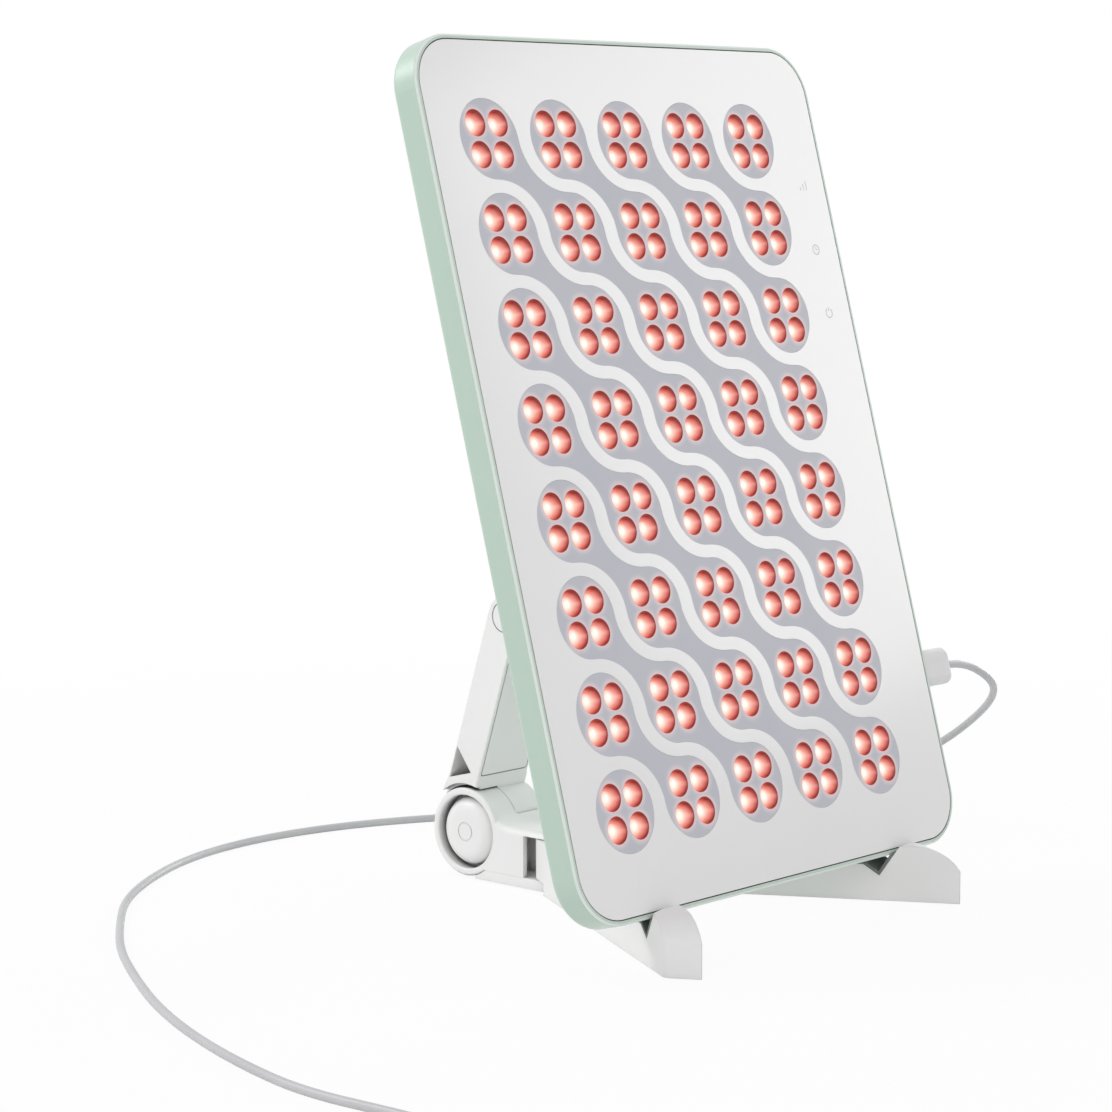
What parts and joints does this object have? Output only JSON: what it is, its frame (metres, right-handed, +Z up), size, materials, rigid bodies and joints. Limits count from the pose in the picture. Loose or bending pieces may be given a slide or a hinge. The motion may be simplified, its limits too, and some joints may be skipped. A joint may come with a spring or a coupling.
{
  "type": "light therapy lamp",
  "caption": "Thin table-top light therapy panel with red light cups, resting in the notches of two folding legs and leaning on a hinged two-link arm, with cord and wall adaptor.",
  "frame": {"origin": "on the surface that the lamp stands on, under the middle of its box without the cord", "axes": "+Z up, the lit panel faces -Y and leans back, +X to the side with the touch keys and the inlet"},
  "size_m": [0.5922, 0.4539, 0.3576],
  "materials": {
    "mint_shell": "satin moulded ABS, pale mint",
    "white_front": "glossy white acrylic",
    "reflector_grey": "fine matt moulded, lavender grey",
    "circuit_board": "white solder mask",
    "light_source": "encapsulated, red and white",
    "touch_film": "clear film with printed electrodes",
    "driver_green": "green solder mask with parts",
    "socket_black": "moulded black nylon",
    "plug_white": "soft moulded PVC",
    "stand_white": "fine satin moulded ABS",
    "cap_white": "smooth moulded ABS",
    "rubber_grey": "matt moulded silicone rubber",
    "rubber_dark": "matt moulded rubber",
    "steel": "turned and zinc plated",
    "cord_white": "smooth extruded PVC sheath",
    "adaptor_white": "moulded polycarbonate",
    "blade_metal": "nickel-plated brass"
  },
  "bodies": {
    "hub": {"hub_body": "stand_white", "hub_base_plate": "stand_white", "hub_screws": "steel", "hub_pad": "rubber_dark", "hinge_shaft": "steel", "hinge_nut": "steel", "friction_washers": "steel", "hinge_cap_left": "cap_white", "leg_pin_left": "steel", "leg_pin_right": "steel", "cord_tube": "cord_white", "cord_coil": "cord_white", "adaptor_relief": "cord_white", "adaptor_body": "adaptor_white", "adaptor_blades": "blade_metal"},
    "leg_left": {"leg_left": "stand_white", "foot_pad_left": "rubber_dark", "notch_pad_left": "rubber_grey"},
    "leg_right": {"leg_right": "stand_white", "foot_pad_right": "rubber_dark", "notch_pad_right": "rubber_grey"},
    "lower_arm": {"arm_frame": "stand_white", "arm_front_cover": "stand_white", "hinge_cap_right": "cap_white", "elbow_shaft": "steel", "elbow_cap_left": "cap_white", "elbow_cap_right": "cap_white"},
    "upper_arm": {"upper_arm": "stand_white", "head_pin": "steel"},
    "panel": {"back_shell": "mint_shell", "front_plate": "white_front", "reflector_plate": "reflector_grey", "led_board": "circuit_board", "led_chips": "light_source", "touch_sensor": "touch_film", "driver_board": "driver_green", "dc_socket": "socket_black", "head_bracket": "stand_white", "bracket_screws": "steel", "power_plug": "plug_white"}
  },
  "joints": [
    {"name": "panel_tilt", "type": "hinge", "parent": "hub", "child": "panel", "pos_m": [0, -0.06835, 0.01965], "axis": [-1, 0, 0], "range_deg": [0, 12]},
    {"name": "arm_turn", "type": "hinge", "parent": "hub", "child": "lower_arm", "pos_m": [0, 0.0856, 0.0205], "axis": [-1, 0, 0], "range_deg": [0, 14.36]},
    {"name": "elbow_turn", "type": "hinge", "parent": "lower_arm", "child": "upper_arm", "pos_m": [0, 0.062, 0.1166], "axis": [-1, 0, 0], "range_deg": [-23.1, 0]},
    {"name": "leg_left_swing", "type": "hinge", "parent": "hub", "child": "leg_left", "pos_m": [-0.0092, 0.0412, 0.0145], "axis": [0, 0, 1], "range_deg": [0, 29]},
    {"name": "leg_right_swing", "type": "hinge", "parent": "hub", "child": "leg_right", "pos_m": [0.0092, 0.0412, 0.0145], "axis": [0, 0, -1], "range_deg": [0, 29]}
  ],
  "couplings": [
    {"joint": "arm_turn", "follows": "panel_tilt", "ratio": 1.196},
    {"joint": "elbow_turn", "follows": "panel_tilt", "ratio": -1.924}
  ]
}
